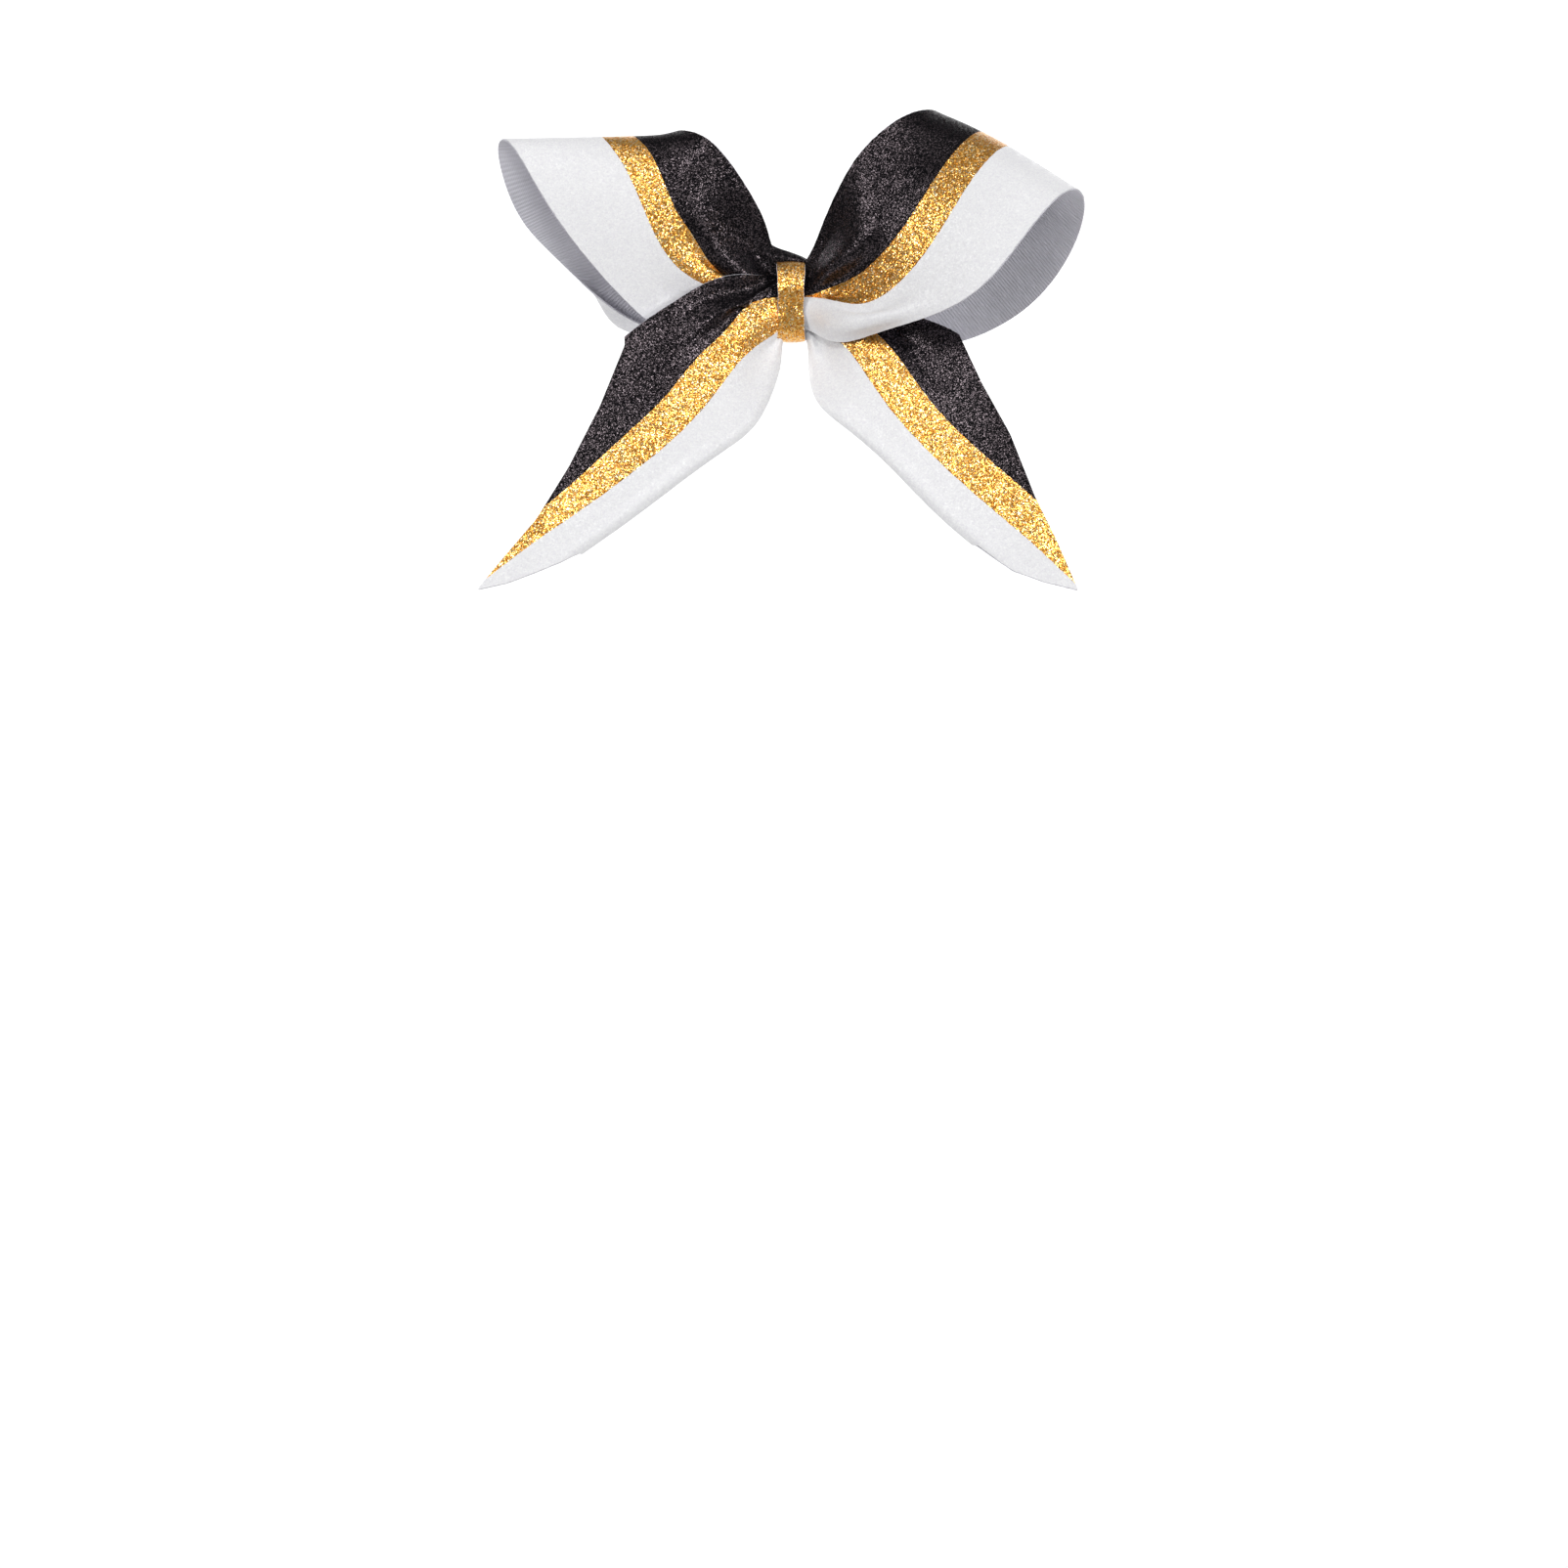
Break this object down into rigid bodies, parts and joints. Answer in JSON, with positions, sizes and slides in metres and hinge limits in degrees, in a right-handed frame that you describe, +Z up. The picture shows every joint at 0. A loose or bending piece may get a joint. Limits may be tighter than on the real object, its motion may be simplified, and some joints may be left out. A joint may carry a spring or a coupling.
{
  "type": "hair bow",
  "caption": "Large tied ribbon bow in black, gold and white glitter stripes, with two loops and two spear-cut tails, on a sprung alligator hair clip.",
  "frame": {"origin": "middle of the clip's bite, behind the bow's waist, where the lock of hair is held", "axes": "+X along the clip towards its lever end, -Y outward from the head (the bow's face), +Z up as worn"},
  "size_m": [0.1553, 0.0495, 0.1233],
  "materials": {
    "grosgrain": "white ribbed grosgrain",
    "glitter_black": "coarse black glitter",
    "glitter_gold": "coarse gold glitter",
    "glitter_white": "fine frosted white glitter",
    "thread": "twisted thread",
    "hot_glue": "hazy glue",
    "clip_steel": "nickel-plated sheet",
    "spring_steel": "drawn wire",
    "liner": "black ribbed grosgrain"
  },
  "bodies": {
    "bow": {"ribbon_left_tail": "grosgrain", "ribbon_right_tail": "grosgrain", "ribbon_left_loop": "grosgrain", "ribbon_right_loop": "grosgrain", "black_glitter_left_tail": "glitter_black", "gold_glitter_left_tail": "glitter_gold", "white_glitter_left_tail": "glitter_white", "black_glitter_right_tail": "glitter_black", "gold_glitter_right_tail": "glitter_gold", "white_glitter_right_tail": "glitter_white", "black_glitter_left_loop": "glitter_black", "gold_glitter_left_loop": "glitter_gold", "white_glitter_left_loop": "glitter_white", "black_glitter_right_loop": "glitter_black", "gold_glitter_right_loop": "glitter_gold", "white_glitter_right_loop": "glitter_white", "centre_wrap": "grosgrain", "centre_wrap_glitter": "glitter_gold", "cinch_thread": "thread", "glue_pads": "hot_glue", "clip_front_jaw": "clip_steel", "clip_hinge_pin": "clip_steel", "clip_torsion_spring": "spring_steel"},
    "back_jaw": {"clip_back_jaw": "clip_steel", "clip_liner": "liner"}
  },
  "joints": [
    {"name": "clip_hinge", "type": "hinge", "parent": "bow", "child": "back_jaw", "pos_m": [0.014, 0.0012, 0], "axis": [0, 0, -1], "range_deg": [0, 38], "stiffness_Nm_per_rad": 0.06, "springref_deg": -34.38, "deforming": ["clip_torsion_spring"]}
  ]
}
